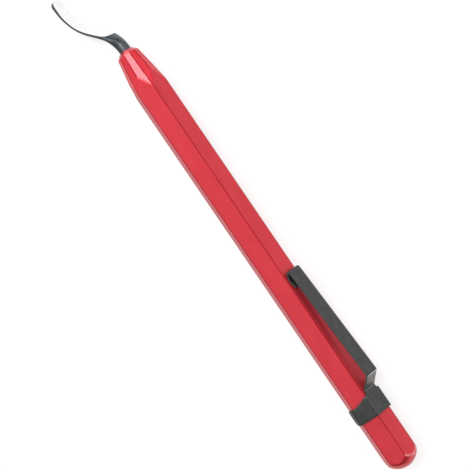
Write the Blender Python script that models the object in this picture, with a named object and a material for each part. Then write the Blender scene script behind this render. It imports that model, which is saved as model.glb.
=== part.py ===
"""Swivelling deburring pen: a hexagonal handle with a free-turning S-shaped blade and a pocket clip.

Metres, +Z up. The handle lies along X with a flat on top and the blade points to +X. The tongue
of the pocket clip is on the flat that faces -Y and up, and the clip's band is what the handle lies
on. The origin is at the height of the band's underside, halfway along and across the tool.
"""
import math

import bmesh
import bpy
from mathutils import Vector

# Handle: a hexagonal bar with a faceted taper at the nose and a turned dome at the tail
handle_length = 0.1263
across_flats = 0.00835
flat_edge_radius = 0.0003
nose_taper_length = 0.0113
nose_end_radius = 0.0020
nose_chamfer = 0.00108
tail_dome_radius = 0.0050
bore_clearance = 0.0001

# Blade: round shank, two bends in one plane, and a ground face on the hollow side
shank_diameter = 0.0032
shank_seat_length = 0.0210
shank_end_chamfer = 0.0004
shank_groove_width = 0.0011
shank_groove_depth = 0.0005
shank_groove_setback = 0.0055
shank_standout = 0.0003
first_bend_radius = 0.0092
middle_length = 0.0037
scraper_radius = 0.0150
tip_straight = 0.0027
blade_bend_angle = math.radians(44.8)
blade_tip_angle = math.radians(5.0)
blade_drop_angle = math.radians(16.95)
scraper_width = 0.0047
scraper_thickness = 0.0024
widening_start = 0.0019
widening_length = 0.0031
face_above_middle = 0.00005
face_rise_at_tip = 0.00045
grind_start = 0.0052
grind_runout = 0.0010
taper_start = 0.0135
taper_width_share = 0.82
tip_round_length = 0.0013
tip_width_share = 0.15
tip_thickness_share = 0.95

# Retaining ring: split spring wire in the shank's groove and the bore's groove
ring_wire_diameter = 0.0007
ring_clearance = 0.0001
ring_split_angle = math.radians(50.0)

# Thrust ball: the shank's end turns on it at the bottom of the bore
ball_diameter = 0.0030
drill_point_angle = math.radians(118.0)

# Pocket clip: one strip of spring steel, wrapped round five flats, with a raised tongue
clip_thickness = 0.0005
clip_seat_gap = 0.0001
clip_tail_distance = 0.0154
clip_arm_width = 0.00443
clip_shoulder_width = 0.00524
clip_arm_reach = 0.0010
clip_arm_end_radius = 0.0013
clip_arm_end_turn = math.radians(75.0)
clip_neck_width = 0.0040
clip_heel_length = 0.0066
clip_riser_angle = math.radians(52.0)
clip_bend_radius = 0.0007
tongue_width = 0.00395
tongue_length = 0.0313
tongue_bend_height = 0.00446
tongue_tip_height = 0.0022
foot_curl_radius = 0.00045
foot_curl_angle = math.radians(128.0)
foot_rise_angle = math.radians(20.0)
foot_rise_radius = 0.0045
foot_end_length = 0.0008
foot_clearance = 0.0001

# The handle's axis is this far to the clip's side of the middle of the tool's width
axis_offset = 0.001053

# Cuts run past the surfaces that they open by this much
overrun = 0.0010

# Vertices nearer than this are one
MERGE_DISTANCE = 0.0000001

# Number of straight steps in each round form
HEX_SIDES = 6
EDGE_STEPS = 3
NOSE_FLATS = 12
TURNED_STEPS = 48
BORE_STEPS = 32
SECTION_STEPS = 32
DOME_STEPS = 12
WIRE_SIDES = 10
RING_STEPS = 30
BALL_STEPS = 16
BEND_STEPS = 5
SWEEP_STEPS = 20
FOOT_STEPS = 3
BAND_ROWS = 4
CURL_STEPS = 8
FILLET_STEPS = 5
CORNER_STEPS = 4

# Places that follow from the sizes above
HEX_TURN = math.tau / HEX_SIDES
HEX_HALF_TURN = HEX_TURN / 2
CLIP_TURN = HEX_TURN
SWIVEL_TURN = -(math.pi / 2 + blade_drop_angle)
flat_radius = across_flats / 2
corner_reach = (flat_radius - flat_edge_radius) / math.cos(HEX_HALF_TURN)
edge_reach = corner_reach + flat_edge_radius
blade_reach = shank_standout + (first_bend_radius + scraper_radius) * math.sin(blade_bend_angle)
blade_reach += middle_length * math.cos(blade_bend_angle) + tip_straight * math.cos(blade_tip_angle)
blade_reach -= scraper_radius * math.sin(blade_tip_angle)
nose_x = (handle_length - blade_reach) / 2
tail_x = nose_x - handle_length
axis_z = flat_radius + clip_seat_gap + clip_thickness
shank_radius = shank_diameter / 2
bore_radius = shank_radius + bore_clearance
shank_end_x = nose_x - shank_seat_length
groove_x = shank_end_x + shank_groove_setback
ball_radius = ball_diameter / 2
ball_x = shank_end_x - bore_clearance - ball_radius
clip_rear_x = tail_x + clip_tail_distance
clip_middle = clip_seat_gap + clip_thickness / 2


def around(turn, radius, x):
    """Point at a radius from the handle's axis; the turn starts at +Z and goes towards -Y."""
    return Vector((x, -axis_offset - radius * math.sin(turn), axis_z + radius * math.cos(turn)))


def smooth_step(value, start, length):
    share = min(max((value - start) / length, 0.0), 1.0)
    return share * share * (3 - 2 * share)


def make_material(name, colour, roughness, metallic):
    material = bpy.data.materials.new(name)
    material.use_nodes = True
    shader = material.node_tree.nodes["Principled BSDF"]
    shader.inputs["Base Color"].default_value = (*colour, 1.0)
    shader.inputs["Roughness"].default_value = roughness
    shader.inputs["Metallic"].default_value = metallic
    return material


def make_object(name, mesh_builder, material=None, sharp_angle=math.radians(25), axis_x=None):
    """New object from a bmesh: a piece when it has a material, otherwise a hidden cutter.

    With axis_x the object's origin is on the handle's axis there, which is the axis of its joint.
    """
    origin = Vector((0, 0, 0)) if axis_x is None else around(0, 0, axis_x)
    bmesh.ops.translate(mesh_builder, verts=mesh_builder.verts, vec=-origin)
    mesh_builder.normal_update()
    bmesh.ops.recalc_face_normals(mesh_builder, faces=mesh_builder.faces)
    mesh = bpy.data.meshes.new(name)
    mesh_builder.to_mesh(mesh)
    mesh_builder.free()
    made = bpy.data.objects.new(name, mesh)
    made.location = origin
    bpy.context.collection.objects.link(made)
    if material is None:
        made.hide_render = True
        made.display_type = "WIRE"
    else:
        mesh.materials.append(material)
        mesh.shade_smooth()
        mesh.set_sharp_from_angle(angle=sharp_angle)
    return made


def loft(rings):
    """Closed skin over rings of as many points each; a ring of one point closes to a tip."""
    builder = bmesh.new()
    rows = [[builder.verts.new(point) for point in ring] for ring in rings]
    for here, there in zip(rows, rows[1:]):
        count = max(len(here), len(there))
        for index in range(count):
            follow = (index + 1) % count
            if len(here) == 1:
                builder.faces.new((here[0], there[index], there[follow]))
            elif len(there) == 1:
                builder.faces.new((here[index], there[0], here[follow]))
            else:
                builder.faces.new((here[index], there[index], there[follow], here[follow]))
    for end in (rows[0], rows[-1]):
        if len(end) > 1:
            builder.faces.new(end)
    return builder


def turned(profile, steps):
    """Body turned about the handle's axis from a list of (x, radius)."""
    rings = []
    for x, radius in profile:
        if radius == 0:
            rings.append([around(0, 0, x)])
        else:
            rings.append([around(math.tau * (step + 0.5) / steps, radius, x) for step in range(steps)])
    return loft(rings)


def rounded_polygon(sides, inner_radius, edge_radius, edge_steps, first_turn, x):
    """Ring of a regular polygon whose edges are rounded; first_turn faces one of its flats."""
    half = math.pi / sides
    centre_radius = (inner_radius - edge_radius) / math.cos(half)
    ring = []
    for side in range(sides):
        flat_turn = first_turn + 2 * half * side
        centre = around(flat_turn + half, centre_radius, x)
        for step in range(edge_steps + 1):
            turn = flat_turn + 2 * half * step / edge_steps
            ring.append(centre + around(turn, edge_radius, 0) - around(0, 0, 0))
    return ring


def add_boolean(target, cutter, operation):
    modifier = target.modifiers.new(cutter.name, "BOOLEAN")
    modifier.operation = operation
    modifier.solver = "EXACT"
    modifier.object = cutter


def swept_strip_path(start, legs):
    """Points along a line of straight and curved legs (length, turn, steps) in a plane."""
    points = [Vector(start)]
    heading = 0.0
    for length, turn, steps in legs:
        for step in range(steps):
            chord_turn = turn / steps
            heading += chord_turn / 2
            chord = length / steps
            if turn:
                chord *= math.sin(chord_turn / 2) / (chord_turn / 2)
            points.append(points[-1] + Vector((math.cos(heading), math.sin(heading))) * chord)
            heading += chord_turn / 2
    return points


def build_handle(material):
    builder = loft(
        [
            rounded_polygon(HEX_SIDES, flat_radius, flat_edge_radius, EDGE_STEPS, 0, x)
            for x in (tail_x - overrun, nose_x + overrun)
        ]
    )

    # Twelve flats meet the hexagon's edges at the end of the taper
    rim_radius = nose_end_radius + nose_chamfer
    rim_x = nose_x - nose_chamfer
    half_facet = math.pi / NOSE_FLATS
    slope = (edge_reach - rim_radius) * math.cos(half_facet) / (nose_taper_length - nose_chamfer)
    for flat in range(NOSE_FLATS):
        turn = half_facet + 2 * half_facet * flat
        place = around(turn, rim_radius * math.cos(half_facet), rim_x)
        normal = around(turn, 1.0, slope) - around(0, 0, 0)
        parts = builder.verts[:] + builder.edges[:] + builder.faces[:]
        cut = bmesh.ops.bisect_plane(
            builder, geom=parts, dist=MERGE_DISTANCE, plane_co=place, plane_no=normal, clear_outer=True
        )
        edges = [part for part in cut["geom_cut"] if isinstance(part, bmesh.types.BMEdge)]
        bmesh.ops.contextual_create(builder, geom=edges)
    handle = make_object("handle", builder, material)

    # The turned form rounds the tail and breaks the nose's rim
    dome_centre_x = tail_x + tail_dome_radius
    profile = []
    dome_end = math.asin(min(1.0, edge_reach / tail_dome_radius))
    for step in range(DOME_STEPS + 1):
        turn = dome_end * step / DOME_STEPS
        x = dome_centre_x - tail_dome_radius * math.cos(turn)
        profile.append((x, tail_dome_radius * math.sin(turn)))
    body_radius = edge_reach + overrun
    profile.append((profile[-1][0] + overrun, body_radius))
    profile.append((nose_x + nose_end_radius - body_radius, body_radius))
    profile.append((nose_x, nose_end_radius))
    profile.append((nose_x, 0))
    add_boolean(handle, make_object("turned_form", turned(profile, TURNED_STEPS)), "INTERSECT")

    # Blind bore with a groove for the ring and a drill point that seats the ball
    seat_reach = (ball_radius + bore_clearance) / math.sin(drill_point_angle / 2)
    point_x = ball_x - seat_reach
    groove_half = ring_wire_diameter / 2 + ring_clearance
    groove_radius = shank_radius - shank_groove_depth + ring_wire_diameter + 2 * ring_clearance
    bore = [
        (point_x, 0),
        (point_x + bore_radius / math.tan(drill_point_angle / 2), bore_radius),
        (groove_x - groove_half, bore_radius),
        (groove_x - groove_half, groove_radius),
        (groove_x + groove_half, groove_radius),
        (groove_x + groove_half, bore_radius),
        (nose_x + overrun, bore_radius),
        (nose_x + overrun, 0),
    ]
    add_boolean(handle, make_object("bore_form", turned(bore, BORE_STEPS)), "DIFFERENCE")
    return handle


def build_thrust_ball(material):
    ball = []
    for step in range(BALL_STEPS + 1):
        turn = math.pi * step / BALL_STEPS
        radius = ball_radius * math.sin(turn) if 0 < step < BALL_STEPS else 0
        ball.append((ball_x - ball_radius * math.cos(turn), radius))
    return make_object("thrust_ball", turned(ball, 2 * BALL_STEPS), material)


def build_retaining_ring(material):
    wire_radius = ring_wire_diameter / 2
    centre_radius = shank_radius - shank_groove_depth + ring_clearance + wire_radius
    rings = []
    for step in range(RING_STEPS + 1):
        turn = ring_split_angle / 2 + (math.tau - ring_split_angle) * step / RING_STEPS
        ring = []
        for side in range(WIRE_SIDES):
            angle = math.tau * side / WIRE_SIDES
            x = groove_x + wire_radius * math.sin(angle)
            ring.append(around(turn, centre_radius + wire_radius * math.cos(angle), x))
        rings.append(ring)
    return make_object("retaining_ring", loft(rings), material, math.radians(50))


def blade_path():
    """Middle line of the blade in its own plane: (along the handle's axis, away from it)."""
    turn = blade_bend_angle
    back_turn = blade_bend_angle - blade_tip_angle
    legs = (
        (shank_seat_length + shank_standout, 0, 1),
        (first_bend_radius * turn, turn, SWEEP_STEPS),
        (middle_length, 0, BEND_STEPS),
        (scraper_radius * back_turn, -back_turn, SWEEP_STEPS),
        (tip_straight, 0, BEND_STEPS),
    )
    return swept_strip_path((shank_end_x, 0), legs)


def blade_sections():
    """Stations along the blade: (point, heading, half width, half thickness)."""
    points = blade_path()
    travelled = [0.0]
    for here, there in zip(points, points[1:]):
        travelled.append(travelled[-1] + (there - here).length)
    total = travelled[-1]
    nose_at = shank_seat_length
    widening_at = nose_at + widening_start
    taper_length = total - nose_at - taper_start
    round_start = total - tip_round_length

    def at(length):
        for index in range(len(points) - 1):
            if length <= travelled[index + 1] or index == len(points) - 2:
                share = (length - travelled[index]) / (travelled[index + 1] - travelled[index])
                return points[index].lerp(points[index + 1], share)

    def heading(length):
        step = overrun / 4
        ahead = at(min(length + step, total)) - at(max(length - step, 0.0))
        return math.atan2(ahead.y, ahead.x)

    groove_low = shank_groove_setback - shank_groove_width / 2
    groove_high = shank_groove_setback + shank_groove_width / 2
    groove_floor = shank_radius - shank_groove_depth
    stations = [
        (0.0, shank_radius - shank_end_chamfer, shank_radius - shank_end_chamfer),
        (shank_end_chamfer, shank_radius, shank_radius),
        (groove_low, shank_radius, shank_radius),
        (groove_low, groove_floor, groove_floor),
        (groove_high, groove_floor, groove_floor),
        (groove_high, shank_radius, shank_radius),
    ]
    lengths = [length for length in travelled[1:] if length < round_start]
    for step in range(CURL_STEPS):
        lengths.append(round_start + tip_round_length * math.sin(math.pi / 2 * step / CURL_STEPS))
    lengths.append(total)
    for length in lengths:
        forged = smooth_step(length, widening_at, widening_length)
        tapered = max(0.0, (length - nose_at - taper_start) / taper_length)
        half_width = shank_radius + (scraper_width / 2 - shank_radius) * forged
        half_width *= 1 - (1 - taper_width_share) * tapered
        half_thickness = shank_radius + (scraper_thickness / 2 - shank_radius) * forged
        past = max(0.0, (length - round_start) / tip_round_length)
        narrowing = tip_width_share + (1 - tip_width_share) * math.sqrt(max(0.0, 1 - past * past))
        thinning = 1 - (1 - tip_thickness_share) * past * past
        stations.append((length, half_width * narrowing, half_thickness * thinning))
    return [(at(length), heading(length), wide, thick) for length, wide, thick in stations]


def in_blade_plane(point, across):
    """World point for a point of the blade's plane and a distance square to that plane."""
    side = around(SWIVEL_TURN + math.pi / 2, across, 0) - around(0, 0, 0)
    return around(SWIVEL_TURN, point.y, point.x) + side


def build_blade(material):
    rings = []
    for point, heading, wide, thick in blade_sections():
        hollow_side = Vector((math.sin(heading), -math.cos(heading)))
        ring = []
        for step in range(SECTION_STEPS):
            turn = math.tau * step / SECTION_STEPS
            offset = hollow_side * thick * math.cos(turn)
            ring.append(in_blade_plane(point + offset, wide * math.sin(turn)))
        rings.append(ring)
    blade = make_object("blade", loft(rings), material, axis_x=nose_x)

    # The grinding wheel leaves a face along the hollow side, steep where it starts at the first bend
    points = blade_path()
    length_out = shank_standout
    full_length = sum((there - here).length for here, there in zip(points, points[1:]))
    rise_length = full_length - shank_seat_length - taper_start
    edge = []
    for here, there in zip(points[1:], points[2:]):
        ahead = (there - here).normalized()
        hollow_side = Vector((ahead.y, -ahead.x))
        if length_out > grind_start - grind_runout:
            rise_share = max(0.0, (length_out - taper_start) / rise_length)
            face = face_above_middle + face_rise_at_tip * rise_share * rise_share
            runout = math.exp((grind_start - length_out) / grind_runout)
            edge.append(here + hollow_side * (face + (scraper_thickness / 2 - face) * runout))
        length_out += (there - here).length
    ahead = (points[-1] - points[-2]).normalized()
    hollow_side = Vector((ahead.y, -ahead.x))
    edge.append(points[-1] + ahead * overrun + hollow_side * (face_above_middle + face_rise_at_tip))
    wheel_depth = hollow_side * first_bend_radius
    edge.append(edge[-1] + wheel_depth)
    edge.append(edge[0] + wheel_depth)
    half_cut = scraper_width / 2 + overrun
    sides = [[in_blade_plane(point, across) for point in edge] for across in (-half_cut, half_cut)]
    add_boolean(blade, make_object("grinding_form", loft(sides)), "DIFFERENCE")
    return blade


def clip_columns():
    """Columns of the band: (point at x = 0, end of the band's rear edge, end of its front edge)."""
    half_flat = corner_reach * math.sin(HEX_HALF_TURN)
    bend_radius = flat_edge_radius + clip_middle
    neck_half = clip_neck_width / 2
    columns = []

    def on_flat(flat, place, rear, front):
        turn = CLIP_TURN + HEX_TURN * flat
        along = around(turn + math.pi / 2, place, 0) - around(0, 0, 0)
        columns.append((around(turn, flat_radius + clip_middle, 0) + along, rear, front))

    def on_corner(flat, width):
        first = CLIP_TURN + HEX_TURN * flat
        centre = around(first + HEX_HALF_TURN, corner_reach, 0)
        for step in range(1, CORNER_STEPS):
            turn = first + HEX_TURN * step / CORNER_STEPS
            columns.append((centre + around(turn, bend_radius, 0) - around(0, 0, 0), 0.0, width))

    fillet_run = half_flat - neck_half
    fillet_rise = clip_heel_length - clip_shoulder_width
    for step in range(FILLET_STEPS + 1):
        turn = math.pi / 2 * step / FILLET_STEPS
        place = half_flat - fillet_run * math.cos(turn)
        on_flat(0, place, 0.0, clip_heel_length - fillet_rise * math.sin(turn))
    on_corner(0, clip_shoulder_width)
    on_flat(1, -half_flat, 0.0, clip_shoulder_width)
    on_flat(1, half_flat, 0.0, clip_arm_width)
    on_corner(1, clip_arm_width)
    on_flat(2, -half_flat, 0.0, clip_arm_width)
    for step in range(FILLET_STEPS + 1):
        turn = clip_arm_end_turn * step / FILLET_STEPS
        place = clip_arm_reach - clip_arm_end_radius * (1 - math.sin(turn))
        inset = clip_arm_end_radius * (1 - math.cos(turn))
        on_flat(2, place, inset, clip_arm_width - inset)
    return columns


def mirrored_across_clip(point):
    """The same point on the other side of the plane through the axis and the tongue."""
    side = around(CLIP_TURN + math.pi / 2, 1.0, 0) - around(0, 0, 0)
    return point - side * (2 * (point - around(0, 0, point.x)).dot(side))


def clip_tongue_path():
    """Middle line of riser, tongue and foot: (along the handle, above its flat)."""
    tongue_slope = math.atan2(tongue_bend_height - tongue_tip_height, tongue_length)
    riser = clip_riser_angle
    bend_rise = clip_bend_radius * (1 - 2 * math.cos(riser) + math.cos(tongue_slope))
    riser_length = (tongue_bend_height - clip_thickness / 2 - clip_middle - bend_rise) / math.sin(riser)
    down = foot_curl_angle
    foot_drop = tongue_tip_height - clip_thickness - foot_clearance
    curl_drop = foot_curl_radius * (1 - math.cos(down))
    sole_radius = (foot_drop - curl_drop) / (1 + math.cos(down))
    legs = (
        (clip_bend_radius * riser, riser, BEND_STEPS),
        (riser_length, 0, 1),
        (clip_bend_radius * (riser + tongue_slope), -riser - tongue_slope, BEND_STEPS),
        (tongue_length, 0, BEND_STEPS),
        (foot_curl_radius * (down - tongue_slope), tongue_slope - down, CURL_STEPS),
        (sole_radius * (math.pi - down), down - math.pi, CURL_STEPS),
        (foot_rise_radius * foot_rise_angle, -foot_rise_angle, FOOT_STEPS),
        (foot_end_length, 0, 1),
    )
    return swept_strip_path((clip_rear_x + clip_heel_length, clip_middle), legs)


def build_pocket_clip(material):
    builder = bmesh.new()
    side_columns = clip_columns()
    mirrored = []
    for point, rear, front in reversed(side_columns):
        mirrored.append((mirrored_across_clip(point), rear, front))
    middle_point = around(CLIP_TURN, flat_radius + clip_middle, 0)
    columns = mirrored + [(middle_point, 0.0, clip_heel_length)] + side_columns
    grid = []
    for point, rear, front in columns:
        places = [clip_rear_x + rear + (front - rear) * row / BAND_ROWS for row in range(BAND_ROWS + 1)]
        grid.append([builder.verts.new(point + Vector((place, 0, 0))) for place in places])
    for here, there in zip(grid, grid[1:]):
        for row in range(BAND_ROWS):
            builder.faces.new((here[row], here[row + 1], there[row + 1], there[row]))

    # The tongue grows from the three columns of the neck
    neck_at = len(mirrored)
    line = [grid[neck_at + offset][BAND_ROWS] for offset in (-1, 0, 1)]
    path = clip_tongue_path()
    lateral = around(CLIP_TURN + math.pi / 2, 1.0, 0) - around(0, 0, 0)
    widening = path[2 * BEND_STEPS].x - path[0].x
    for place in path[1:]:
        share = smooth_step(place.x, path[0].x, widening)
        half = (clip_neck_width + (tongue_width - clip_neck_width) * share) / 2
        centre = around(CLIP_TURN, flat_radius + place.y, place.x)
        follow = [builder.verts.new(centre + lateral * offset) for offset in (-half, 0.0, half)]
        for index in range(2):
            builder.faces.new((line[index], follow[index], follow[index + 1], line[index + 1]))
        line = follow
    clip = make_object("pocket_clip", builder, material, axis_x=clip_rear_x + clip_arm_width / 2)
    sheet = clip.modifiers.new("sheet", "SOLIDIFY")
    sheet.thickness = clip_thickness
    sheet.offset = 0.0
    sheet.use_even_offset = True
    sheet.use_quality_normals = True
    return clip


def build():
    for old in list(bpy.data.objects):
        bpy.data.objects.remove(old, do_unlink=True)
    red_anodised = make_material("red_anodised_aluminium", (0.60, 0.035, 0.05), 0.32, 0.6)
    black_oxide = make_material("black_oxide_steel", (0.085, 0.095, 0.105), 0.38, 0.8)
    spring_steel = make_material("dark_spring_steel", (0.09, 0.09, 0.09), 0.45, 0.8)
    bright_steel = make_material("bright_steel", (0.60, 0.60, 0.62), 0.2, 1.0)
    build_handle(red_anodised)
    build_thrust_ball(bright_steel)
    build_retaining_ring(bright_steel)
    build_blade(black_oxide)
    build_pocket_clip(spring_steel)


build()
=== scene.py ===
"""Looks of the swivelling deburring pen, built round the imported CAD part.

Metres, +Z up, the handle along X. The handle, the blade and the pocket clip are fine smooth skins
of the same sizes as their CAD nodes, which they replace. The ball and the ring keep their nodes
and get a finish.
"""

import math

import bmesh
import bpy
from mathutils import Matrix, Vector


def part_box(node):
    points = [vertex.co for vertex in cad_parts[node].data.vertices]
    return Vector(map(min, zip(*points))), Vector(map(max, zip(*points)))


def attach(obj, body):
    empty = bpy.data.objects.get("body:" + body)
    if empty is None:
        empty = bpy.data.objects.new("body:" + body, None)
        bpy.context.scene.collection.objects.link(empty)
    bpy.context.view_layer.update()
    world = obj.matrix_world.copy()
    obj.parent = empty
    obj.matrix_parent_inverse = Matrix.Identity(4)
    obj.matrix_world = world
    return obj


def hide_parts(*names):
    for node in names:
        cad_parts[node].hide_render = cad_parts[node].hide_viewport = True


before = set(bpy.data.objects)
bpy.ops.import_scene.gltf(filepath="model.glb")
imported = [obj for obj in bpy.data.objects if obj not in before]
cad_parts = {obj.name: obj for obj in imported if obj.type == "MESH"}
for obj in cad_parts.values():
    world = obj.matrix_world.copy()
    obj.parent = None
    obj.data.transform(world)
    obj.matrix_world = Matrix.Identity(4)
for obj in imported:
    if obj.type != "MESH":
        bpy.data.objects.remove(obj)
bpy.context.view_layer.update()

MM = 0.001

# Places of the CAD handle, on which every piece is set
handle_low, handle_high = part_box("handle")
tail_x = handle_low.x
nose_x = handle_high.x
axis_y = (handle_low.y + handle_high.y) / 2
axis_z = (handle_low.z + handle_high.z) / 2
flat_radius = (handle_high.z - handle_low.z) / 2

# Handle
nose_taper_length = 0.0113
nose_end_radius = 0.0020
nose_chamfer = 0.00108
tail_dome_radius = 0.0050
flat_edge_radius = 0.0003
hex_edge_blend = 0.00017
ridge_blend = 0.00006
dome_blend = 0.00030
bore_radius = 0.0017
bore_mouth = 0.0001
bore_depth = 0.0243
drill_half_angle = math.radians(59)

# Blade
shank_radius = 0.0016
shank_end_x = nose_x - 0.0210
shank_end_chamfer = 0.0004
shank_groove_width = 0.0011
shank_groove_depth = 0.0005
shank_groove_setback = 0.0055
shank_standout = 0.0003
first_bend_radius = 0.0092
middle_length = 0.0037
scraper_radius = 0.0150
tip_straight = 0.0027
blade_bend_angle = math.radians(44.8)
blade_tip_angle = math.radians(5.0)
blade_drop_angle = math.radians(16.95)
scraper_width = 0.0047
scraper_thickness = 0.0024
widening_start = 0.0019
widening_length = 0.0031
face_above_middle = 0.00005
grind_start = 0.0052
grind_runout = 0.0010
face_rise_at_tip = 0.00045
taper_start = 0.0135
taper_width_share = 0.82
tip_round_length = 0.0013
tip_width_share = 0.15
tip_thickness_share = 0.95

# Pocket clip
clip_thickness = 0.0005
clip_seat_gap = 0.0001
clip_tail_distance = 0.0154
clip_arm_width = 0.00443
# The band's front edge sweeps further over the next flat than the solid's, as in the photograph
clip_shoulder_width = 0.00575
clip_sweep_power = 1.6
clip_arm_reach = 0.0010
clip_arm_end_radius = 0.0013
clip_neck_width = 0.0040
clip_heel_length = 0.0066
clip_riser_angle = math.radians(52.0)
clip_bend_radius = 0.0007
tongue_width = 0.00395
tongue_length = 0.0313
tongue_bend_height = 0.00446
tongue_tip_height = 0.0022
foot_curl_radius = 0.00045
foot_curl_angle = math.radians(128.0)
foot_rise_angle = math.radians(20.0)
foot_rise_radius = 0.0045
foot_end_length = 0.0008
foot_clearance = 0.0001
cut_edge_rounding = 0.00009

HEX_SIDES = 6
HEX_TURN = math.tau / HEX_SIDES
HEX_HALF_TURN = HEX_TURN / 2
NOSE_FLATS = 12

# Degrees from each of the handle's ridges to the skin's points round it; the face between the
# middle two is the ridge itself
RIDGE_OFFSETS = (
    -15.0, -10.0, -6.0, -3.6, -2.6, -1.9, -1.2, -0.5, 0.5, 1.2, 1.9, 2.6, 3.6, 6.0, 10.0
)
CLIP_BEND_STEPS = 9
CLIP_RISER_STEPS = 3
CLIP_HIGHLIGHT_STEPS = 4

CLIP_TURN = HEX_TURN
SWIVEL_TURN = -(math.pi / 2 + blade_drop_angle)
corner_reach = (flat_radius - flat_edge_radius) / math.cos(HEX_HALF_TURN)
edge_reach = corner_reach + flat_edge_radius
clip_rear_x = tail_x + clip_tail_distance
clip_middle = clip_seat_gap + clip_thickness / 2


def around(turn, radius, x):
    """Point at a radius from the handle's axis; the turn starts at +Z and goes towards -Y."""
    return Vector((x, axis_y - radius * math.sin(turn), axis_z + radius * math.cos(turn)))


def direction(turn):
    return around(turn, 1.0, 0) - around(0, 0, 0)


def smooth_step(value, start, length):
    share = min(max((value - start) / length, 0.0), 1.0)
    return share * share * (3 - 2 * share)


# Materials


def add_node(tree, kind, settings=(), inputs=()):
    node = tree.nodes.new(kind)
    for name, value in dict(settings).items():
        setattr(node, name, value)
    for name, value in dict(inputs).items():
        if isinstance(value, bpy.types.NodeSocket):
            tree.links.new(value, node.inputs[name])
        else:
            node.inputs[name].default_value = value
    return node


def new_material(name, metallic, coat=0.0, coat_roughness=0.0, specular=0.5):
    """Material with a Principled shader: (material, its tree, the shader)."""
    material = bpy.data.materials.new(name)
    material.use_nodes = True
    tree = material.node_tree
    shader = tree.nodes["Principled BSDF"]
    shader.inputs["Metallic"].default_value = metallic
    shader.inputs["Specular IOR Level"].default_value = specular
    shader.inputs["Coat Weight"].default_value = coat
    shader.inputs["Coat Roughness"].default_value = coat_roughness
    return material, tree, shader


def object_millimetres(tree, stretch=(1.0, 1.0, 1.0), turn=0.0, place=(0.0, 0.0, 0.0)):
    """The piece's own coordinates in millimetres from a place, turned about X and stretched."""
    own = add_node(tree, "ShaderNodeTexCoord")
    scaled = add_node(
        tree,
        "ShaderNodeMapping",
        {"vector_type": "TEXTURE"},
        {
            "Vector": own.outputs["Object"],
            "Location": place,
            "Rotation": (turn, 0.0, 0.0),
            "Scale": [MM * share for share in stretch],
        },
    )
    return scaled.outputs["Vector"]


def noise(tree, vector, scale, detail, roughness=0.5):
    made = add_node(
        tree,
        "ShaderNodeTexNoise",
        {},
        {"Vector": vector, "Scale": scale, "Detail": detail, "Roughness": roughness},
    )
    return made.outputs["Fac"]


def ramp(tree, factor, stops):
    """Colour ramp from a list of (place, colour or grey value)."""
    made = add_node(tree, "ShaderNodeValToRGB", {}, {"Fac": factor})
    bar = made.color_ramp.elements
    while len(bar) < len(stops):
        bar.new(0.5)
    for element, (place, colour) in zip(bar, stops):
        element.position = place
        rgb = colour if isinstance(colour, tuple) else (colour, colour, colour)
        element.color = (*rgb, 1.0)
    return made.outputs["Color"]


def mixed(tree, factor, first, second, blend="MIX"):
    made = add_node(
        tree,
        "ShaderNodeMix",
        {"data_type": "RGBA", "blend_type": blend},
        {0: factor, 6: first, 7: second},
    )
    return made.outputs[2]


def bumped(tree, height, strength, distance, normal=None):
    inputs = {"Height": height, "Strength": strength, "Distance": distance}
    if normal is not None:
        inputs["Normal"] = normal
    return add_node(tree, "ShaderNodeBump", {}, inputs).outputs["Normal"]


def grained(tree, shader, smooth, rough, bump, normal=None, fineness=11.0, depth=0.004):
    """Fine grain that varies the roughness and bumps the surface; the depth is in millimetres."""
    grain = noise(tree, object_millimetres(tree), fineness, 3.0, 0.6)
    satin = ramp(tree, grain, [(0.3, smooth), (0.7, rough)])
    tree.links.new(satin, shader.inputs["Roughness"])
    etched = bumped(tree, grain, bump, depth * MM, normal)
    tree.links.new(etched, shader.inputs["Normal"])


def cloudy_dye(tree, deep, pale, stretch=(9.0, 3.0, 3.0)):
    """Dye that varies a little in patches."""
    clouds = noise(tree, object_millimetres(tree, stretch), 1.0, 3.0)
    return ramp(tree, clouds, [(0.3, deep), (0.7, pale)])


def painted_shoulder_highlight(tree, dye):
    """The dye with a painted highlight, pale and patchy, along the edge between the dome and the
    clip's flat.
    """
    shoulder_highlight_colour = (0.860, 0.300, 0.310, 1.0)
    # In millimetres: how far from the edge the painted highlight fades in, and between which
    # places along the handle, counted from the dome's middle, it does so
    fade_starts, fade_ends = 0.26, 0.15
    none_from, full_from = -1.3, -1.6
    middle = (tail_x + tail_dome_radius, axis_y, axis_z)
    place = object_millimetres(tree, place=middle)
    reach = add_node(tree, "ShaderNodeVectorMath", {"operation": "LENGTH"}, {0: place})
    facing = add_node(
        tree,
        "ShaderNodeVectorMath",
        {"operation": "DOT_PRODUCT"},
        {0: place, 1: direction(CLIP_TURN)},
    )
    both = add_node(
        tree,
        "ShaderNodeMath",
        {"operation": "ADD"},
        {0: reach.outputs["Value"], 1: facing.outputs["Value"]},
    )
    at_edge = (tail_dome_radius + flat_radius) / MM
    near = add_node(
        tree,
        "ShaderNodeMapRange",
        {"interpolation_type": "SMOOTHSTEP"},
        {
            "Value": both.outputs["Value"],
            "From Min": at_edge - fade_starts,
            "From Max": at_edge - fade_ends,
        },
    )
    along = add_node(tree, "ShaderNodeSeparateXYZ", {}, {"Vector": place}).outputs["X"]
    on_dome = add_node(
        tree,
        "ShaderNodeMapRange",
        {},
        {"Value": along, "From Min": none_from, "From Max": full_from},
    )
    patchy = ramp(tree, noise(tree, place, 1.3, 3.0, 0.6), [(0.35, 0.35), (0.60, 1.0)])
    share = mixed(tree, 1.0, near.outputs["Result"], patchy, "MULTIPLY")
    share = mixed(tree, 1.0, on_dome.outputs["Result"], share, "MULTIPLY")
    return mixed(tree, share, dye, shoulder_highlight_colour)


def new_red(finish, metallic, coat, coat_roughness):
    """Material for one finish of the dyed bar, whose clear coat alone gives the white sheen."""
    return new_material("anodised_red" + finish, metallic, coat, coat_roughness, specular=0.0)


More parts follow.
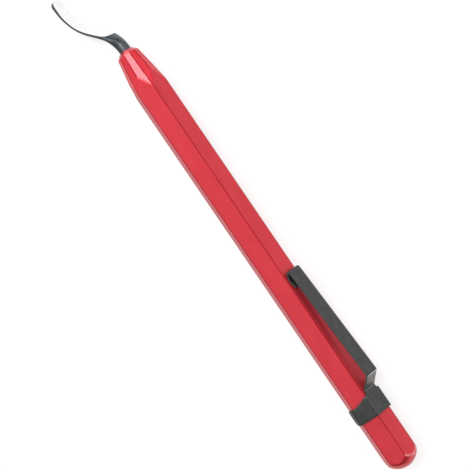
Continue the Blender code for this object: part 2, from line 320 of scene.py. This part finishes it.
def red_anodised():
    """Satin anodised bar: drawn lines along it, a fine etched grain and slightly uneven dye."""
    material, tree, shader = new_red("", 0.30, coat=0.40, coat_roughness=0.22)
    dye = cloudy_dye(tree, (0.670, 0.041, 0.057), (0.730, 0.050, 0.068))
    lines = noise(tree, object_millimetres(tree, (14.0, 0.16, 0.16)), 1.0, 3.0, 0.6)
    line_tint = ramp(tree, lines, [(0.25, 0.93), (0.75, 1.0)])
    drawn_dye = mixed(tree, 1.0, dye, line_tint, "MULTIPLY")
    # Painted highlight along the dome's edge on the clip's side
    tree.links.new(painted_shoulder_highlight(tree, drawn_dye), shader.inputs["Base Color"])
    drawn = bumped(tree, lines, 0.25, 0.004 * MM)
    grained(tree, shader, 0.36, 0.46, 0.30, drawn)
    return material


def milled_red():
    """Facets milled at the nose: the dye painted lighter than the bar's, with a brighter sheen and
    fine marks across.
    """
    material, tree, shader = new_red("_milled", 0.30, coat=1.0, coat_roughness=0.16)
    # Lighter than the bar's dye: painted light on the nose facets
    dye = cloudy_dye(tree, (0.740, 0.024, 0.042), (0.800, 0.032, 0.052))
    tree.links.new(dye, shader.inputs["Base Color"])
    marks = noise(tree, object_millimetres(tree, (0.12, 2.0, 2.0)), 1.0, 3.0, 0.6)
    tree.links.new(ramp(tree, marks, [(0.3, 0.32), (0.7, 0.42)]), shader.inputs["Roughness"])
    grain = noise(tree, object_millimetres(tree), 11.0, 3.0, 0.6)
    milled = bumped(tree, marks, 0.20, 0.004 * MM)
    tree.links.new(bumped(tree, grain, 0.25, 0.004 * MM, milled), shader.inputs["Normal"])
    return material


def shaded_edge_red():
    """Broken edges of the bar, with the dye painted darker: painted shade for the dark lines along
    the ridges.
    """
    material, tree, shader = new_red("_edge", 0.30, coat=0.30, coat_roughness=0.26)
    dye = cloudy_dye(tree, (0.380, 0.009, 0.018), (0.440, 0.013, 0.024), (5.0, 1.0, 1.0))
    tree.links.new(dye, shader.inputs["Base Color"])
    grained(tree, shader, 0.40, 0.50, 0.30)
    return material


def turned_red():
    """The same finish where the bar was turned: fine rings instead of drawn lines, and the dye
    painted darker than the bar's.
    """
    material, tree, shader = new_red("_turned", 0.70, coat=0.6, coat_roughness=0.14)
    # Darker than the bar's dye: painted shade on the dome, which faces away from the light
    dye = cloudy_dye(tree, (0.590, 0.027, 0.036), (0.650, 0.034, 0.044))
    # Painted highlight along the dome's edge on the clip's side
    tree.links.new(painted_shoulder_highlight(tree, dye), shader.inputs["Base Color"])
    rings = add_node(
        tree,
        "ShaderNodeTexWave",
        {"wave_type": "RINGS", "rings_direction": "X"},
        {
            "Vector": object_millimetres(tree, place=(0.0, axis_y, axis_z)),
            "Scale": 2.6,
            "Distortion": 0.6,
            "Detail": 2.0,
        },
    )
    turned_lines = bumped(tree, rings.outputs["Fac"], 0.25, 0.004 * MM)
    grained(tree, shader, 0.36, 0.46, 0.30, turned_lines)
    return material


def rim_red():
    """Conical rim of the nose: the dye painted darker than the bar's, on a smoother, more
    mirror-like cut.
    """
    material, tree, shader = new_red("_rim", 0.90, coat=1.0, coat_roughness=0.09)
    # Darker than the bar's dye: painted shade on the rim
    dye = cloudy_dye(tree, (0.530, 0.027, 0.042), (0.590, 0.034, 0.050), (3.0, 3.0, 3.0))
    tree.links.new(dye, shader.inputs["Base Color"])
    grained(tree, shader, 0.20, 0.26, 0.15)
    return material


def black_oxide():
    """Oxidised shank: blue-black, slightly mottled, rubbed brighter on high grains."""
    material, tree, shader = new_material("oxide_black", metallic=0.75)
    tones = [
        (0.25, (0.060, 0.070, 0.080)),
        (0.55, (0.085, 0.098, 0.110)),
        (0.80, (0.115, 0.125, 0.135)),
    ]
    tint = ramp(tree, noise(tree, object_millimetres(tree), 0.9, 4.0, 0.6), tones)
    lines = noise(tree, object_millimetres(tree, (3.0, 0.12, 0.12)), 1.0, 3.0, 0.6)
    rubbed_and_painted_highlight = ramp(tree, lines, [(0.2, 0.86), (0.8, 1.12)])
    tree.links.new(mixed(tree, 1.0, tint, rubbed_and_painted_highlight, "MULTIPLY"), shader.inputs["Base Color"])
    drawn = bumped(tree, lines, 0.30, 0.006 * MM)
    grained(tree, shader, 0.32, 0.44, 0.25, drawn, fineness=9.0, depth=0.005)
    return material


def ground_steel():
    """Ground face: bright steel with wheel marks that run along the blade."""
    material, tree, shader = new_material("steel_ground", metallic=1.0)
    marks = noise(tree, object_millimetres(tree, (6.0, 6.0, 0.09), SWIVEL_TURN), 1.0, 4.0, 0.65)
    tint = ramp(tree, marks, [(0.2, (0.80, 0.80, 0.79)), (0.8, (0.89, 0.89, 0.885))])
    tree.links.new(tint, shader.inputs["Base Color"])
    tree.links.new(ramp(tree, marks, [(0.2, 0.30), (0.8, 0.18)]), shader.inputs["Roughness"])
    tree.links.new(bumped(tree, marks, 0.30, 0.004 * MM), shader.inputs["Normal"])
    return material


def spring_steel():
    """Tempered strip: dark, satin, with fine rolling lines and faint rubbed patches."""
    material, tree, shader = new_material("spring_steel_dark", metallic=0.7)
    shader.inputs["Specular Tint"].default_value = (0.25, 0.25, 0.25, 1.0)
    tones = [
        (0.25, (0.062, 0.065, 0.064)),
        (0.55, (0.079, 0.082, 0.080)),
        (0.80, (0.097, 0.100, 0.098)),
    ]
    clouds = noise(tree, object_millimetres(tree, (2.0, 1.0, 1.0)), 0.8, 4.0, 0.6)
    tint = ramp(tree, clouds, tones)
    lines = noise(tree, object_millimetres(tree, (9.0, 0.10, 0.10)), 1.0, 3.0, 0.6)
    rolled = ramp(tree, lines, [(0.2, 0.90), (0.8, 1.08)])
    tree.links.new(mixed(tree, 1.0, tint, rolled, "MULTIPLY"), shader.inputs["Base Color"])
    drawn = bumped(tree, lines, 0.20, 0.004 * MM)
    grained(tree, shader, 0.24, 0.32, 0.12, drawn, fineness=10.0, depth=0.003)
    return material


def sheared_steel():
    """Cut edges of the strip: paler and rougher than its faces, with marks across them."""
    material, tree, shader = new_material("spring_steel_edge", metallic=0.8)
    shader.inputs["Specular Tint"].default_value = (0.4, 0.4, 0.4, 1.0)
    marks = noise(tree, object_millimetres(tree, (0.10, 0.10, 0.10)), 1.0, 3.0, 0.7)
    tint = ramp(tree, marks, [(0.25, (0.105, 0.100, 0.096)), (0.75, (0.165, 0.158, 0.152))])
    tree.links.new(tint, shader.inputs["Base Color"])
    tree.links.new(ramp(tree, marks, [(0.3, 0.52), (0.7, 0.38)]), shader.inputs["Roughness"])
    tree.links.new(bumped(tree, marks, 0.35, 0.006 * MM), shader.inputs["Normal"])
    return material


def wear_and_painted_light_steel(name, darker, paler):
    """Strip paler in patches: a painted highlight on the top bend, painted light and some wear on
    the riser and its lower bend.
    """
    material, tree, shader = new_material(name, metallic=0.8)
    patches = noise(tree, object_millimetres(tree, (0.5, 1.0, 1.0)), 1.6, 4.0, 0.6)
    tree.links.new(ramp(tree, patches, [(0.3, darker), (0.7, paler)]), shader.inputs["Base Color"])
    tree.links.new(ramp(tree, patches, [(0.3, 0.40), (0.7, 0.30)]), shader.inputs["Roughness"])
    grain = noise(tree, object_millimetres(tree), 10.0, 3.0, 0.6)
    tree.links.new(bumped(tree, grain, 0.25, 0.005 * MM), shader.inputs["Normal"])
    return material


def bright_steel():
    """Polished wire and ball: bright steel with a few fine scuffs."""
    material, tree, shader = new_material("steel_bright", metallic=1.0)
    scuffs = noise(tree, object_millimetres(tree), 4.0, 5.0, 0.7)
    tint = ramp(tree, scuffs, [(0.3, (0.55, 0.55, 0.57)), (0.7, (0.66, 0.66, 0.67))])
    tree.links.new(tint, shader.inputs["Base Color"])
    tree.links.new(ramp(tree, scuffs, [(0.35, 0.12), (0.7, 0.28)]), shader.inputs["Roughness"])
    tree.links.new(bumped(tree, scuffs, 0.15, 0.003 * MM), shader.inputs["Normal"])
    return material


# Geometry helpers


def loft(rings, finish_of):
    """Closed skin over rings of as many points each; a ring of one point closes to a tip.

    finish_of gives a face's material index from the number of its ring and its place round it.
    """
    builder = bmesh.new()
    rows = [[builder.verts.new(point) for point in ring] for ring in rings]
    for place, (here, there) in enumerate(zip(rows, rows[1:])):
        count = max(len(here), len(there))
        for index in range(count):
            follow = (index + 1) % count
            if len(here) == 1:
                face = builder.faces.new((here[0], there[index], there[follow]))
            elif len(there) == 1:
                face = builder.faces.new((here[index], there[0], here[follow]))
            else:
                corners = (here[index], there[index], there[follow], here[follow])
                face = builder.faces.new(corners)
            face.material_index = finish_of(place, index)
    for end in (rows[0], rows[-1]):
        if len(end) > 1:
            builder.faces.new(end)
    return builder


def dress(name, builder, materials, node, body, sharp_angle):
    """Object from a bmesh that stands for a CAD node and moves with its body."""
    builder.normal_update()
    bmesh.ops.recalc_face_normals(builder, faces=builder.faces)
    mesh = bpy.data.meshes.new(name)
    builder.to_mesh(mesh)
    builder.free()
    for material in materials:
        mesh.materials.append(material)
    mesh.shade_smooth()
    mesh.set_sharp_from_angle(angle=sharp_angle)
    piece = bpy.data.objects.new(name, mesh)
    bpy.context.collection.objects.link(piece)
    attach(piece, body)
    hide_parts(node)
    return piece


def keep_flats_flat(piece):
    weighted = piece.modifiers.new("flat_normals", "WEIGHTED_NORMAL")
    weighted.keep_sharp = True
    weighted.weight = 100


def path_of_legs(start, legs):
    """Points along a line of straight and curved legs (length, turn, steps) in a plane."""
    points = [Vector(start)]
    heading = 0.0
    for length, turn, steps in legs:
        for _ in range(steps):
            chord_turn = turn / steps
            heading += chord_turn / 2
            chord = length / steps
            if turn:
                chord *= math.sin(chord_turn / 2) / (chord_turn / 2)
            points.append(points[-1] + Vector((math.cos(heading), math.sin(heading))) * chord)
            heading += chord_turn / 2
    return points


# Handle


def soft_min(values, blend):
    """Smallest value, with the corner between near values rounded over."""
    ordered = sorted(values)
    low = ordered[0]
    for value in ordered[1:3]:
        share = max(0.0, 1 - (value - low) / blend)
        low -= blend * share * share / 4
    return low


def flats_reach(turn, count, first_turn, inner_radius):
    """Distances along a turn to the flats of a regular polygon that face it within 60 degrees."""
    least_facing = 0.5
    reaches = []
    for side in range(count):
        facing = math.cos(turn - first_turn - math.tau * side / count)
        if facing > least_facing:
            reaches.append(inner_radius / facing)
    return reaches


def hexagon_reach(turn):
    return soft_min(flats_reach(turn, HEX_SIDES, 0.0, flat_radius), hex_edge_blend)


def handle_reach(turn, x):
    """Distance from the axis to the handle's outer skin: hexagon, taper and rim, or dome."""
    hexagon = hexagon_reach(turn)
    reaches = [hexagon]
    rim_radius = nose_end_radius + nose_chamfer
    rim_x = nose_x - nose_chamfer
    half_facet = math.pi / NOSE_FLATS
    slope = (edge_reach - rim_radius) * math.cos(half_facet) / (nose_taper_length - nose_chamfer)
    facet_radius = rim_radius * math.cos(half_facet) + slope * (rim_x - x)
    # Further back the facets lie outside the hexagon and shape nothing
    if facet_radius < edge_reach * 1.05:
        facets = flats_reach(turn, NOSE_FLATS, half_facet, facet_radius)
        reaches.append(soft_min(facets, ridge_blend))
        reaches.append(nose_end_radius + nose_x - x)
    dome_place = x - tail_x - tail_dome_radius
    if dome_place < 0:
        dome = math.sqrt(max(0.0, tail_dome_radius ** 2 - dome_place ** 2))
        return soft_min([hexagon, dome], dome_blend)
    return soft_min(reaches, ridge_blend)


def handle_stations():
    """Places of the skin's rings, close together where the dome, the taper and the rim curve."""
    dome_steps = 12
    dome_share = math.asin(flat_radius / tail_dome_radius) - math.radians(4)
    shoulder_end = tail_x + 0.0038
    shoulder_spacing = 0.00009
    straight_start = tail_x + 0.006
    taper_start_x = nose_x - nose_taper_length - 0.0004
    straight_end = taper_start_x - 0.004
    taper_spacing = 0.00013
    rim_steps = 14
    rim_run = nose_chamfer + 0.0003

    stations = []
    for step in range(1, dome_steps):
        turn = dome_share * step / dome_steps
        stations.append(tail_x + tail_dome_radius * (1 - math.cos(turn)))
    fine = stations[-1]
    while fine < shoulder_end:
        fine += shoulder_spacing
        stations.append(fine)
    stations += [straight_start, straight_end]
    fine = taper_start_x
    while fine < nose_x - rim_run:
        stations.append(fine)
        fine += taper_spacing
    for step in range(rim_steps):
        stations.append(nose_x - rim_run + rim_run * step / rim_steps)
    return stations


def build_handle():
    """Skin of the bar from the tail over the dome, the flats and the taper into the bore."""
    turns = []
    for ridge in range(NOSE_FLATS):
        for offset in RIDGE_OFFSETS:
            turns.append(HEX_HALF_TURN * ridge + math.radians(offset))
    rings = [[around(0, 0, tail_x)]]
    stations = handle_stations()
    for x in stations:
        rings.append([around(turn, handle_reach(turn, x), x) for turn in turns])
    outer = len(rings)
    mouth = [
        (nose_x, nose_end_radius),
        (nose_x, bore_radius + bore_mouth),
        (nose_x - bore_mouth, bore_radius),
        (nose_x - bore_depth, bore_radius),
    ]
    for x, radius in mouth:
        rings.append([around(turn, radius, x) for turn in turns])
    drill_point = bore_radius / math.tan(drill_half_angle)
    rings.append([around(0, 0, nose_x - bore_depth - drill_point)])
    bar, turned, edge, milled, rim = range(5)

    def finish_of(place, index):
        """Finish of a face: that of its place along the bar, or of the ridge that it lies on."""
        if place == 0 or place >= outer:
            return turned
        x = stations[place - 1]
        hexagon = hexagon_reach(turns[index])
        if x < tail_x + tail_dome_radius - math.sqrt(tail_dome_radius ** 2 - hexagon ** 2):
            return turned
        if x > nose_x - nose_chamfer:
            return rim
        ridge, across = divmod(index, len(RIDGE_OFFSETS))
        from_ridge = abs(across - len(RIDGE_OFFSETS) // 2)
        at_nose = handle_reach(HEX_TURN * (ridge // 2), x) < flat_radius - ridge_blend
        has_edge = at_nose or ridge % 2 == 1
        edge_faces = 3 if at_nose else 2
        # Faces beside the ridges take the darker edge finish, painted shade along the ridges
        if has_edge and from_ridge <= edge_faces:
            return edge
        return milled if handle_reach(turns[index], x) < hexagon - ridge_blend else bar

    handle = dress(
        "handle_bar",
        loft(rings, finish_of),
        [red_anodised(), turned_red(), shaded_edge_red(), milled_red(), rim_red()],
        node="handle",
        body="handle",
        sharp_angle=math.radians(40),
    )
    keep_flats_flat(handle)


# Blade


def blade_path():
    """Middle line of the blade in its own plane: (along the handle's axis, away from it)."""
    shank_steps, bend_steps, straight_steps = 8, 40, 16
    turn = blade_bend_angle
    back_turn = blade_bend_angle - blade_tip_angle
    legs = (
        (nose_x - shank_end_x + shank_standout, 0, shank_steps),
        (first_bend_radius * turn, turn, bend_steps),
        (middle_length, 0, straight_steps),
        (scraper_radius * back_turn, -back_turn, bend_steps),
        (tip_straight, 0, straight_steps),
    )
    return path_of_legs((shank_end_x, 0), legs)


def in_blade_plane(point, across):
    """World point for a point of the blade's plane and a distance square to that plane."""
    return around(SWIVEL_TURN, point.y, point.x) + direction(SWIVEL_TURN + math.pi / 2) * across


def build_blade():
    """Skin of the blade: rings with a round back and a face, which the grinding cuts flat."""
    points = blade_path()
    travelled = [0.0]
    for here, there in zip(points, points[1:]):
        travelled.append(travelled[-1] + (there - here).length)
    total = travelled[-1]
    nose_at = nose_x - shank_end_x
    widening_at = nose_at + widening_start
    taper_length = total - nose_at - taper_start
    round_start = total - tip_round_length
    heading_reach = 0.00025
    tip_steps = 14
    back_steps = 44
    face_steps = 12
    # Half arcs of the section: the least that the face's points span, and the least cut that
    # shows as ground
    least_opening = math.radians(12)
    shown_opening = math.radians(10)
    runout_cap = 8.0

    def at(length):
        for index in range(len(points) - 1):
            if length <= travelled[index + 1] or index == len(points) - 2:
                share = (length - travelled[index]) / (travelled[index + 1] - travelled[index])
                return points[index].lerp(points[index + 1], share)

    def heading(length):
        ahead = at(min(length + heading_reach, total)) - at(max(length - heading_reach, 0.0))
        return math.atan2(ahead.y, ahead.x)

    groove_low = shank_groove_setback - shank_groove_width / 2
    groove_high = shank_groove_setback + shank_groove_width / 2
    groove_floor = shank_radius - shank_groove_depth
    shank = (
        (0.0, shank_radius - shank_end_chamfer),
        (shank_end_chamfer, shank_radius),
        (groove_low, shank_radius),
        (groove_low, groove_floor),
        (groove_high, groove_floor),
        (groove_high, shank_radius),
    )
    stations = [(length, radius, radius) for length, radius in shank]
    lengths = [length for length in travelled[1:] if groove_high < length < round_start]
    for step in range(tip_steps):
        share = math.sin(math.pi / 2 * step / tip_steps)
        lengths.append(round_start + tip_round_length * share)
    lengths.append(total)
    for length in lengths:
        forged = smooth_step(length, widening_at, widening_length)
        tapered = max(0.0, (length - nose_at - taper_start) / taper_length)
        half_width = shank_radius + (scraper_width / 2 - shank_radius) * forged
        half_width *= 1 - (1 - taper_width_share) * tapered
        half_thickness = shank_radius + (scraper_thickness / 2 - shank_radius) * forged
        past = max(0.0, (length - round_start) / tip_round_length)
        narrowing = tip_width_share + (1 - tip_width_share) * math.sqrt(max(0.0, 1 - past * past))
        thinning = 1 - (1 - tip_thickness_share) * past * past
        stations.append((length, half_width * narrowing, half_thickness * thinning))

    rings = []
    ground = []
    for length, wide, thick in stations:
        point = at(length)
        slant = heading(length)
        hollow = Vector((math.sin(slant), -math.cos(slant)))
        out = length - nose_at
        swept = min(1.0, max(0.0, (out - taper_start) / taper_length))
        face = face_above_middle + face_rise_at_tip * swept * swept
        runout = math.exp(min(runout_cap, (grind_start - out) / grind_runout))
        cut = face + (scraper_thickness / 2 - face) * runout
        is_cut = out > grind_start - grind_runout and cut < thick
        cut_opening = math.acos(cut / thick) if is_cut else 0.0
        ground.append(cut_opening > shown_opening)
        opening = max(cut_opening, least_opening)
        ring = []
        for step in range(back_steps):
            turn = opening + (math.tau - 2 * opening) * step / back_steps
            height = min(thick * math.cos(turn), cut if is_cut else thick)
            ring.append(in_blade_plane(point + hollow * height, wide * math.sin(turn)))
        for step in range(face_steps):
            place = -wide * math.sin(opening) * (1 - 2 * step / face_steps)
            height = thick * math.sqrt(max(0.0, 1 - (place / wide) ** 2))
            if is_cut:
                height = min(height, cut)
            ring.append(in_blade_plane(point + hollow * height, place))
        rings.append(ring)

    def finish_of(place, index):
        """Ground steel where the face is cut, and black oxide elsewhere."""
        return 1 if ground[place] and index >= back_steps else 0

    blade = dress(
        "scraper_blade",
        loft(rings, finish_of),
        [black_oxide(), ground_steel()],
        node="blade",
        body="blade",
        sharp_angle=math.radians(38),
    )
    keep_flats_flat(blade)


# Pocket clip


def clip_columns():
    """Columns of the band's one side: (point at x = 0, its rear end, its front end).

    Both ends are counted from the band's rear edge.
    """
    half_flat = corner_reach * math.sin(HEX_HALF_TURN)
    bend_radius = flat_edge_radius + clip_middle
    neck_half = clip_neck_width / 2
    arm_end_turn = math.radians(75)
    corner_steps = 6
    fillet_steps = 10
    sweep_steps = 12
    columns = []

    def on_flat(flat, place, rear, front):
        turn = CLIP_TURN + HEX_TURN * flat
        point = around(turn, flat_radius + clip_middle, 0) + direction(turn + math.pi / 2) * place
        columns.append((point, rear, front))

    def on_corner(flat, width):
        first = CLIP_TURN + HEX_TURN * flat
        centre = around(first + HEX_HALF_TURN, corner_reach, 0)
        for step in range(1, corner_steps):
            turn = first + HEX_TURN * step / corner_steps
            columns.append((centre + direction(turn) * bend_radius, 0.0, width))

    fillet_run = half_flat - neck_half
    fillet_rise = clip_heel_length - clip_shoulder_width
    for step in range(fillet_steps + 1):
        turn = math.pi / 2 * step / fillet_steps
        place = half_flat - fillet_run * math.cos(turn)
        on_flat(0, place, 0.0, clip_heel_length - fillet_rise * math.sin(turn))
    on_corner(0, clip_shoulder_width)
    for step in range(sweep_steps + 1):
        share = step / sweep_steps
        sweep = (1 - share) ** clip_sweep_power
        front = clip_arm_width + (clip_shoulder_width - clip_arm_width) * sweep
        on_flat(1, half_flat * (2 * share - 1), 0.0, front)
    on_corner(1, clip_arm_width)
    on_flat(2, -half_flat, 0.0, clip_arm_width)
    for step in range(fillet_steps + 1):
        turn = arm_end_turn * step / fillet_steps
        place = clip_arm_reach - clip_arm_end_radius * (1 - math.sin(turn))
        inset = clip_arm_end_radius * (1 - math.cos(turn))
        on_flat(2, place, inset, clip_arm_width - inset)
    return columns


def mirrored_across_clip(point):
    """The same point on the other side of the plane through the axis and the tongue."""
    side = direction(CLIP_TURN + math.pi / 2)
    return point - side * (2 * (point - around(0, 0, point.x)).dot(side))


def clip_tongue_path():
    """Middle line of riser, tongue and foot: (along the handle, above its flat)."""
    tongue_steps, curl_steps, rise_steps, end_steps = 12, 12, 5, 2
    tongue_slope = math.atan2(tongue_bend_height - tongue_tip_height, tongue_length)
    riser = clip_riser_angle
    bend_rise = clip_bend_radius * (1 - 2 * math.cos(riser) + math.cos(tongue_slope))
    riser_rise = tongue_bend_height - clip_thickness / 2 - clip_middle - bend_rise
    down = foot_curl_angle
    foot_drop = tongue_tip_height - clip_thickness - foot_clearance
    curl_drop = foot_curl_radius * (1 - math.cos(down))
    sole_radius = (foot_drop - curl_drop) / (1 + math.cos(down))
    legs = (
        (clip_bend_radius * riser, riser, CLIP_BEND_STEPS),
        (riser_rise / math.sin(riser), 0, CLIP_RISER_STEPS),
        (clip_bend_radius * (riser + tongue_slope), -riser - tongue_slope, CLIP_BEND_STEPS),
        (tongue_length, 0, tongue_steps),
        (foot_curl_radius * (down - tongue_slope), tongue_slope - down, curl_steps),
        (sole_radius * (math.pi - down), down - math.pi, curl_steps),
        (foot_rise_radius * foot_rise_angle, -foot_rise_angle, rise_steps),
        (foot_end_length, 0, end_steps),
    )
    return path_of_legs((clip_rear_x + clip_heel_length, clip_middle), legs)


def build_pocket_clip():
    """Sheet of the clip's middle surface, which modifiers thicken and round at its cut edges."""
    rows = 6
    # Places in the list of finishes; each finish of a face is followed by that of its cut edges
    plain, rubbed_and_painted_highlight, riser_light_and_wear = 0, 2, 4
    sheared = sheared_steel()
    # Paler steels: a painted highlight on the top bend, and painted light with some wear on the
    # riser and its lower bend
    finishes = [
        spring_steel(),
        sheared,
        wear_and_painted_light_steel("spring_steel_painted_highlight", (0.300, 0.295, 0.285), (0.480, 0.474, 0.460)),
        sheared,
        wear_and_painted_light_steel("spring_steel_lit_and_worn", (0.115, 0.111, 0.102), (0.180, 0.174, 0.162)),
        sheared,
    ]
    builder = bmesh.new()
    side_columns = clip_columns()
    mirrored = []
    for point, rear, front in reversed(side_columns):
        mirrored.append((mirrored_across_clip(point), rear, front))
    middle_point = around(CLIP_TURN, flat_radius + clip_middle, 0)
    columns = mirrored + [(middle_point, 0.0, clip_heel_length)] + side_columns
    grid = []
    for point, rear, front in columns:
        places = [clip_rear_x + rear + (front - rear) * row / rows for row in range(rows + 1)]
        grid.append([builder.verts.new(point + Vector((place, 0, 0))) for place in places])
    for here, there in zip(grid, grid[1:]):
        for row in range(rows):
            builder.faces.new((here[row], here[row + 1], there[row + 1], there[row]))

    # The tongue grows from the three columns of the neck
    neck_at = len(mirrored)
    line = [grid[neck_at + offset][rows] for offset in (-1, 0, 1)]
    path = clip_tongue_path()
    lateral = direction(CLIP_TURN + math.pi / 2)
    top_bend = CLIP_BEND_STEPS + CLIP_RISER_STEPS
    widening = path[top_bend].x - path[0].x
    for step, place in enumerate(path[1:]):
        share = smooth_step(place.x, path[0].x, widening)
        half = (clip_neck_width + (tongue_width - clip_neck_width) * share) / 2
        centre = around(CLIP_TURN, flat_radius + place.y, place.x)
        follow = [builder.verts.new(centre + lateral * offset) for offset in (-half, 0.0, half)]
        # Painted light with some wear on the riser and its lower bend, then a painted highlight on
        # the top bend's first steps
        if step < top_bend:
            finish = riser_light_and_wear
        elif step < top_bend + CLIP_HIGHLIGHT_STEPS:
            finish = rubbed_and_painted_highlight
        else:
            finish = plain
        for index in range(2):
            corners = (line[index], follow[index], follow[index + 1], line[index + 1])
            builder.faces.new(corners).material_index = finish
        line = follow

    clip = dress(
        "clip_strip",
        builder,
        finishes,
        node="pocket_clip",
        body="clip",
        sharp_angle=math.radians(40),
    )
    sheet = clip.modifiers.new("sheet", "SOLIDIFY")
    sheet.thickness = clip_thickness
    sheet.offset = 0.0
    sheet.use_even_offset = True
    sheet.use_quality_normals = True
    sheet.material_offset_rim = 1
    broken = clip.modifiers.new("broken_edges", "BEVEL")
    broken.limit_method = "ANGLE"
    broken.angle_limit = math.radians(60)
    broken.width = cut_edge_rounding
    broken.segments = 2
    broken.material = finishes.index(sheared)
    keep_flats_flat(clip)


# Surroundings

WALL_LIGHT = 0.10
CEILING_LIGHT = 0.66
CEILING_MIDDLE = (0.20, 0.45, 0.87)
# Cosines of the angles from the ceiling's middle where the walls end and the full light starts
WALL_COSINE = 0.45
CEILING_COSINE = 0.97
PANEL_DISTANCE = 1.3
FLOOR_SIDE = 6.0
# Just under the tool, so that no face of it lies in the floor
FLOOR_LEVEL = -0.00002
FLOOR_COLOUR = 0.34
FLOOR_GLOW = 0.74


def add_floor():
    """Pale floor that shows white to the camera and in reflections, and keeps the shadow."""
    half = FLOOR_SIDE / 2
    corners = ((-half, -half), (half, -half), (half, half), (-half, half))
    builder = bmesh.new()
    builder.faces.new([builder.verts.new((x, y, FLOOR_LEVEL)) for x, y in corners])
    mesh = bpy.data.meshes.new("floor")
    builder.to_mesh(mesh)
    builder.free()
    floor = bpy.data.objects.new("floor", mesh)
    bpy.context.collection.objects.link(floor)
    material = bpy.data.materials.new("floor_white")
    material.use_nodes = True
    tree = material.node_tree
    shader = tree.nodes["Principled BSDF"]
    shader.inputs["Base Color"].default_value = (FLOOR_COLOUR, FLOOR_COLOUR, FLOOR_COLOUR, 1.0)
    shader.inputs["Roughness"].default_value = 0.9
    shader.inputs["Specular IOR Level"].default_value = 0.0
    seen = seen_share(tree, FLOOR_GLOW)
    glow = add_node(tree, "ShaderNodeEmission", {}, {"Color": (1, 1, 1, 1), "Strength": seen})
    both = add_node(tree, "ShaderNodeAddShader")
    tree.links.new(shader.outputs["BSDF"], both.inputs[0])
    tree.links.new(glow.outputs["Emission"], both.inputs[1])
    tree.links.new(both.outputs["Shader"], tree.nodes["Material Output"].inputs["Surface"])
    mesh.materials.append(material)


def seen_share(tree, strength):
    """Strength for camera, glossy and transmission rays, and none for others."""
    ray = add_node(tree, "ShaderNodeLightPath").outputs

    def joined(operation, first, second):
        made = add_node(tree, "ShaderNodeMath", {"operation": operation}, {0: first, 1: second})
        return made.outputs[0]

    seen = joined("MAXIMUM", ray["Is Camera Ray"], ray["Is Glossy Ray"])
    seen = joined("MAXIMUM", seen, ray["Is Transmission Ray"])
    return joined("MULTIPLY", seen, strength)


def add_world():
    """Studio walls and ceiling: dim at the horizon, brighter overhead, and white to the camera."""
    world = bpy.data.worlds.new("studio")
    bpy.context.scene.world = world
    world.use_nodes = True
    tree = world.node_tree
    background = tree.nodes["Background"]
    background.inputs["Color"].default_value = (1, 1, 1, 1)
    seen_from = add_node(tree, "ShaderNodeTexCoord").outputs["Generated"]
    height = add_node(
        tree,
        "ShaderNodeVectorMath",
        {"operation": "DOT_PRODUCT"},
        {0: seen_from, 1: Vector(CEILING_MIDDLE).normalized()},
    ).outputs["Value"]
    walls = add_node(
        tree,
        "ShaderNodeMapRange",
        {"interpolation_type": "SMOOTHSTEP"},
        {
            "Value": height,
            "From Min": WALL_COSINE,
            "From Max": CEILING_COSINE,
            "To Min": WALL_LIGHT,
            "To Max": CEILING_LIGHT,
        },
    ).outputs["Result"]
    camera = add_node(tree, "ShaderNodeLightPath").outputs["Is Camera Ray"]
    strength = add_node(
        tree, "ShaderNodeMapRange", {}, {"Value": camera, "To Min": walls, "To Max": 1.0}
    )
    tree.links.new(strength.outputs["Result"], background.inputs["Strength"])


def add_panel(name, azimuth, elevation, across, upright, radiance):
    """Softbox that faces the tool, placed and sized by angles from it.

    The azimuth starts at +X and goes towards +Y, and all four angles are in degrees. The radiance
    is what a mirror shows of the softbox.
    """
    width = 2 * PANEL_DISTANCE * math.tan(math.radians(across))
    height = 2 * PANEL_DISTANCE * math.tan(math.radians(upright))
    lamp = bpy.data.lights.new(name, "AREA")
    lamp.shape = "RECTANGLE"
    lamp.size = width
    lamp.size_y = height
    lamp.energy = radiance * math.pi * width * height
    holder = bpy.data.objects.new(name, lamp)
    bpy.context.collection.objects.link(holder)
    level = math.cos(math.radians(elevation))
    toward = Vector(
        (
            level * math.cos(math.radians(azimuth)),
            level * math.sin(math.radians(azimuth)),
            math.sin(math.radians(elevation)),
        )
    )
    holder.location = Vector((0, 0, axis_z)) + toward * PANEL_DISTANCE
    holder.rotation_mode = "QUATERNION"
    holder.rotation_quaternion = toward.to_track_quat("Z", "Y")
    holder.visible_camera = False


def add_lights():
    """Softboxes: (name, azimuth, elevation, half angles across and upright, radiance)."""
    add_panel("key_box", 22, 57, 13, 13, 3.2)
    add_panel("facet_box", -28, 68, 9, 9, 8.6)
    add_panel("nose_box", 3, 8, 16, 9, 10.5)
    add_panel("side_box", -92, 30, 27, 12, 3.0)
    add_panel("tail_box", -137, 30, 4, 4, 16.0)


def add_camera():
    """Camera of the photograph: nearly overhead, turned so that the tool lies corner to corner."""
    tilt = math.radians(19.1)
    roll_cos, roll_sin = 0.826464, 0.562985
    distance = 0.445
    view_width = 0.1184
    aim_behind_nose = 0.0537
    aim_beside_axis = 0.0033
    back = Vector((0, -math.sin(tilt), math.cos(tilt)))
    down_slope = Vector((0, -math.cos(tilt), -math.sin(tilt)))
    along = Vector((1, 0, 0))
    right = (down_slope * roll_cos - along * roll_sin).normalized()
    up = (along * roll_cos + down_slope * roll_sin).normalized()
    lens = bpy.data.cameras.new("camera")
    camera = bpy.data.objects.new("camera", lens)
    bpy.context.collection.objects.link(camera)
    aim = Vector((nose_x - aim_behind_nose, axis_y, axis_z)) - down_slope * aim_beside_axis
    placed = Matrix((right, up, back)).transposed().to_4x4()
    placed.translation = aim + back * distance
    camera.matrix_world = placed
    lens.sensor_width = 36.0
    lens.lens = lens.sensor_width * distance / view_width
    lens.clip_start = 0.01
    lens.clip_end = 20.0
    bpy.context.scene.camera = camera


bpy.context.scene.view_settings.view_transform = "Standard"
add_camera()
add_world()
add_lights()
add_floor()
build_handle()
build_blade()
build_pocket_clip()
polished = bright_steel()
for name in ("thrust_ball", "retaining_ring"):
    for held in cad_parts[name].material_slots:
        held.material = polished
